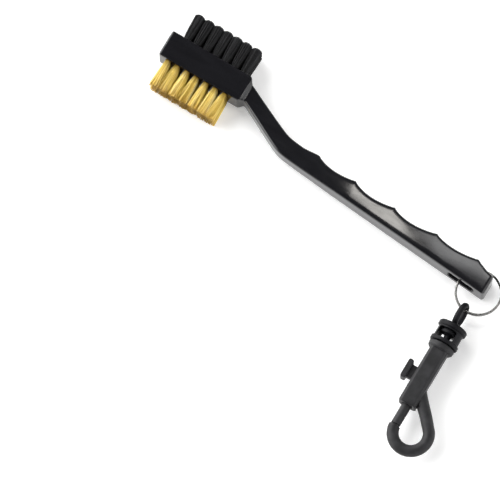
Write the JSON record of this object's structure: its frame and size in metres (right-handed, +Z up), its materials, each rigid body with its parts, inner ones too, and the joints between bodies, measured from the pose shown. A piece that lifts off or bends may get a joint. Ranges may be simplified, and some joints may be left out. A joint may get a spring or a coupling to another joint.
{
  "type": "club groove brush",
  "caption": "Two-sided golf club brush with brass and nylon tufts, a bent finger-grip handle, a split ring and a swivel snap hook.",
  "frame": {"origin": "middle of the head block's lower side, the flat side on which the brush lies", "axes": "+X along the head block towards the grip's end, +Y the nylon and finger side, +Z up from the surface that the brush lies on"},
  "size_m": [0.1962, 0.1316, 0.0138],
  "materials": {
    "handle_plastic": "gloss black moulded plastic",
    "brass_wire": "bright drawn wire",
    "nylon_filament": "satin black filament",
    "ring_steel": "nickel-plated steel wire",
    "hook_plastic": "satin black moulded plastic",
    "spring_steel": "bright spring wire"
  },
  "bodies": {
    "brush": {"handle": "handle_plastic", "brass_tuft_1_1": "brass_wire", "brass_tuft_1_2": "brass_wire", "brass_tuft_1_3": "brass_wire", "brass_tuft_1_4": "brass_wire", "brass_tuft_1_5": "brass_wire", "brass_tuft_1_6": "brass_wire", "brass_tuft_1_7": "brass_wire", "brass_tuft_2_1": "brass_wire", "brass_tuft_2_2": "brass_wire", "brass_tuft_2_3": "brass_wire", "brass_tuft_2_4": "brass_wire", "brass_tuft_2_5": "brass_wire", "brass_tuft_2_6": "brass_wire", "brass_tuft_2_7": "brass_wire", "brass_tuft_3_1": "brass_wire", "brass_tuft_3_2": "brass_wire", "brass_tuft_3_3": "brass_wire", "brass_tuft_3_4": "brass_wire", "brass_tuft_3_5": "brass_wire", "brass_tuft_3_6": "brass_wire", "brass_tuft_3_7": "brass_wire", "nylon_tuft_1_1": "nylon_filament", "nylon_tuft_1_2": "nylon_filament", "nylon_tuft_1_3": "nylon_filament", "nylon_tuft_1_4": "nylon_filament", "nylon_tuft_1_5": "nylon_filament", "nylon_tuft_1_6": "nylon_filament", "nylon_tuft_1_7": "nylon_filament", "nylon_tuft_2_1": "nylon_filament", "nylon_tuft_2_2": "nylon_filament", "nylon_tuft_2_3": "nylon_filament", "nylon_tuft_2_4": "nylon_filament", "nylon_tuft_2_5": "nylon_filament", "nylon_tuft_2_6": "nylon_filament", "nylon_tuft_2_7": "nylon_filament", "nylon_tuft_3_1": "nylon_filament", "nylon_tuft_3_2": "nylon_filament", "nylon_tuft_3_3": "nylon_filament", "nylon_tuft_3_4": "nylon_filament", "nylon_tuft_3_5": "nylon_filament", "nylon_tuft_3_6": "nylon_filament", "nylon_tuft_3_7": "nylon_filament"},
    "ring": {"split_ring": "ring_steel"},
    "swivel": {"swivel_eye": "hook_plastic"},
    "hook": {"end_plug": "hook_plastic", "hook_body": "hook_plastic", "gate_spring": "spring_steel"},
    "gate": {"gate_bolt": "hook_plastic"}
  },
  "joints": [
    {"name": "ring_swing", "type": "hinge", "parent": "brush", "child": "ring", "pos_m": [0.1561, -0.0253, 0.0069], "axis": [0, 0, 1], "range_deg": [-45, 180]},
    {"name": "eye_swing", "type": "hinge", "parent": "ring", "child": "swivel", "pos_m": [0.1542, -0.0395, 0.0069], "axis": [1, 0, 0], "range_deg": [-90, 90]},
    {"name": "swivel_spin", "type": "hinge", "parent": "swivel", "child": "hook", "pos_m": [0.1542, -0.05865, 0.0069], "axis": [0, -1, 0], "continuous": true},
    {"name": "gate_slide", "type": "slide", "parent": "hook", "child": "gate", "axis": [0, 1, 0], "range_m": [0, 0.0075], "stiffness_N_per_m": 250, "springref_m": -0.003, "deforming": ["gate_spring"]}
  ]
}
